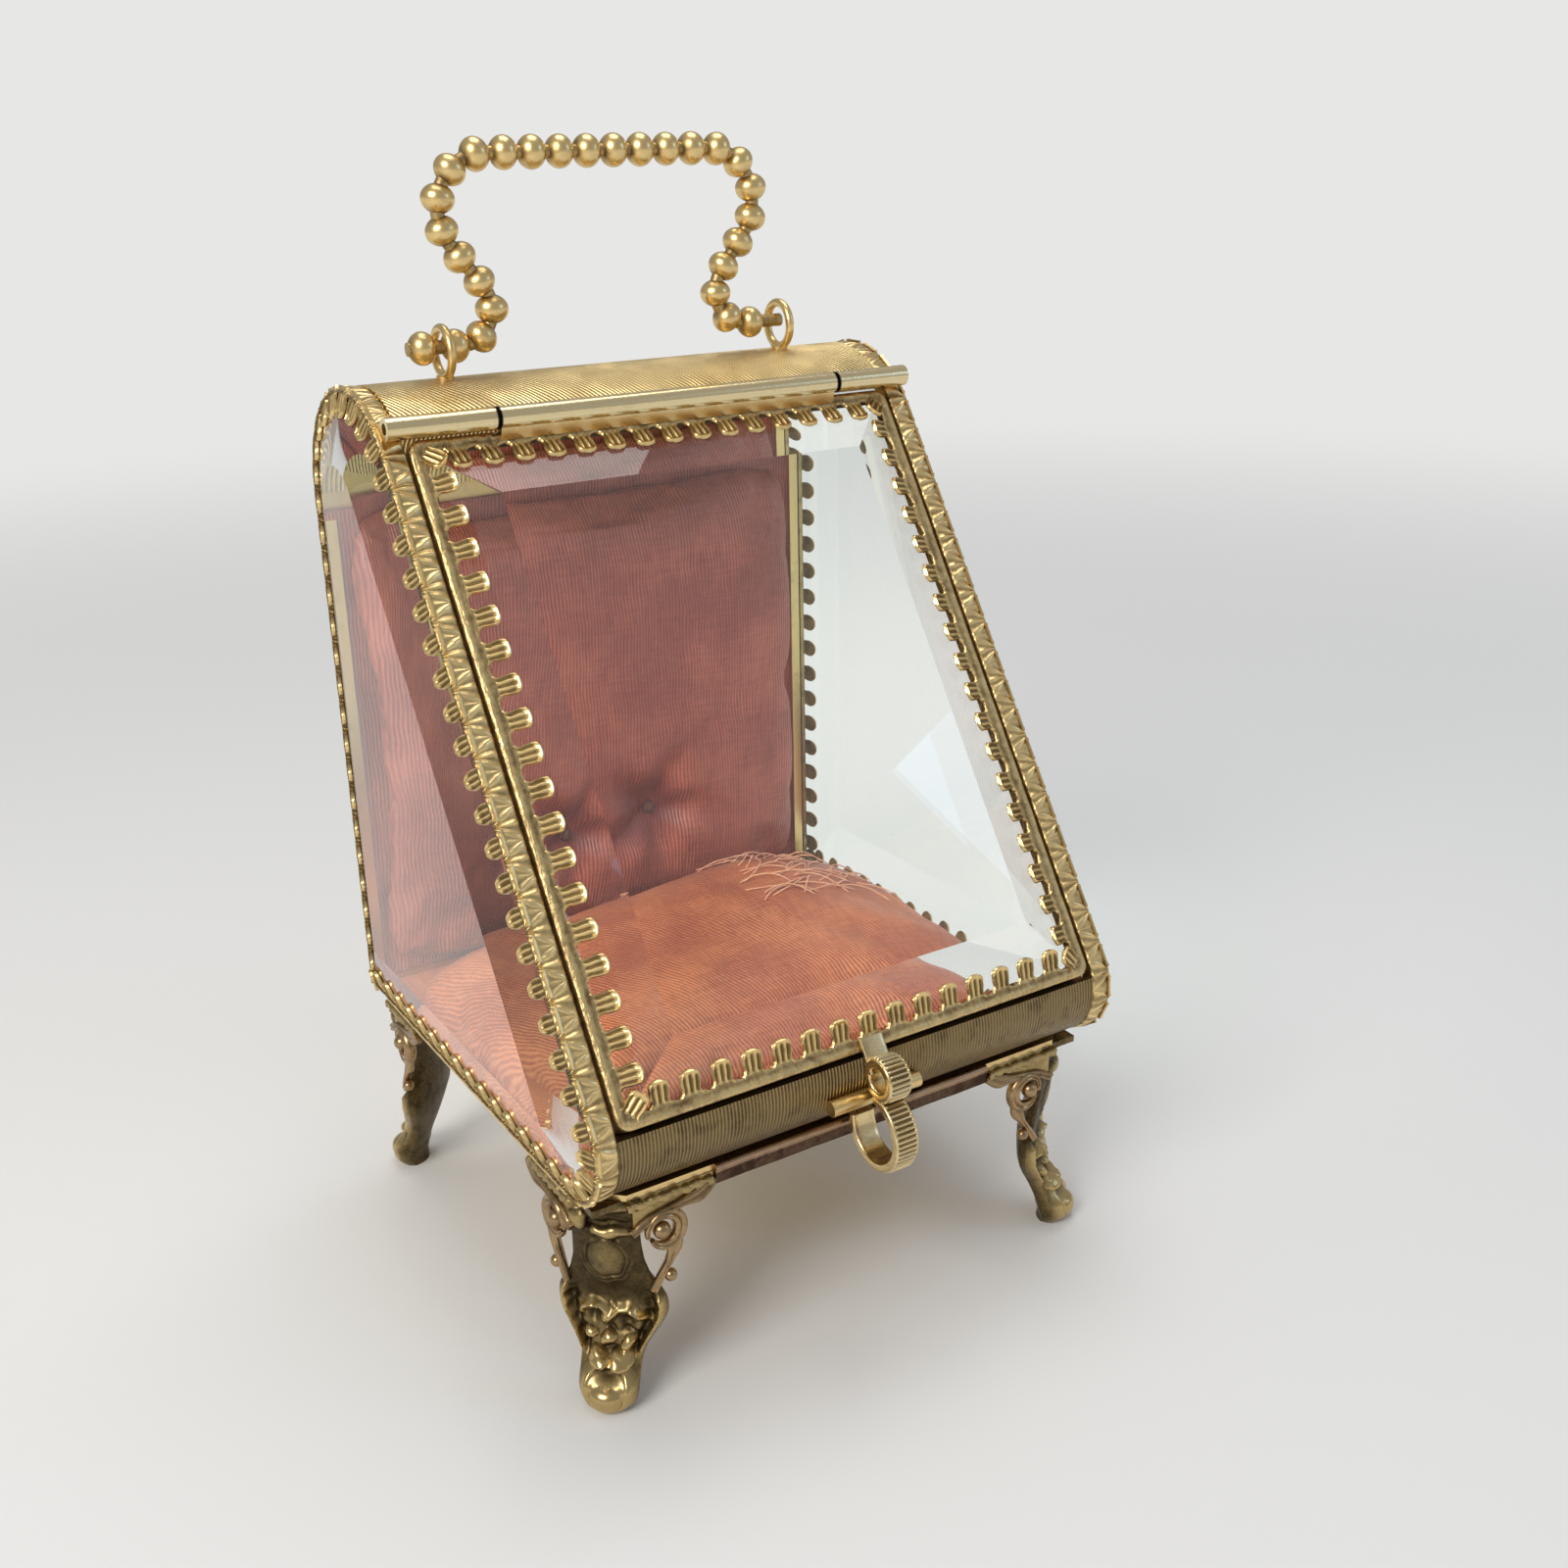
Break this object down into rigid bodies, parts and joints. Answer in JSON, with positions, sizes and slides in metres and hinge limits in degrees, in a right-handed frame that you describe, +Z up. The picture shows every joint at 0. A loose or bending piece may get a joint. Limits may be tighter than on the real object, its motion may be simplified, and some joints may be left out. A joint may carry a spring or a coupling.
{
  "type": "glass casket box",
  "caption": "Small display casket of bevelled glass panes in folded gilt claw frames, with a sloping hinged glass door, sprung clasp, beaded bail, silk cushions and scrolled feet.",
  "frame": {"origin": "on the table, under the middle of the bounding box at rest", "axes": "+X to the right, +Y to the back, away from the door, +Z up"},
  "size_m": [0.0786, 0.0812, 0.1429],
  "materials": {
    "gilt": "aged gilding, half polished",
    "gilt_dark": "tarnished cast gilding",
    "copper_gilt": "worn to copper on the solder side",
    "pin": "dark",
    "glass": "clear, bevelled and polished",
    "silk": "satin silk",
    "thread": "twisted thread",
    "card": "matt card under the silk"
  },
  "bodies": {
    "casket": {"base_plate": "gilt_dark", "front_rail": "gilt", "back_panel": "gilt", "crown_strap": "gilt", "front_apron": "gilt", "claw_frame_left": "gilt", "claw_frame_right": "gilt", "side_glass_left": "glass", "side_glass_right": "glass", "foot_front_left": "gilt_dark", "foot_front_right": "gilt_dark", "foot_back_left": "gilt_dark", "foot_back_right": "gilt_dark", "hinge_knuckle_left": "copper_gilt", "hinge_knuckle_right": "copper_gilt", "hinge_pin": "pin", "clasp_bar": "gilt", "handle_ring_left": "gilt", "handle_ring_right": "gilt", "back_card": "card", "back_cushion": "silk", "base_card": "card", "base_cushion": "silk", "back_tuft": "thread", "back_trim": "gilt"},
    "door": {"door_frame": "gilt", "door_glass": "glass", "hinge_knuckle_door": "copper_gilt", "clasp": "gilt"},
    "handle": {"bail": "gilt"}
  },
  "joints": [
    {"name": "door_hinge", "type": "hinge", "parent": "casket", "child": "door", "pos_m": [0, 0.01243, 0.11136], "axis": [-1, 0, 0], "range_deg": [0, 105]},
    {"name": "handle_pivot", "type": "hinge", "parent": "casket", "child": "handle", "pos_m": [0, 0.024, 0.1187], "axis": [1, 0, 0], "range_deg": [-90, 60]}
  ]
}
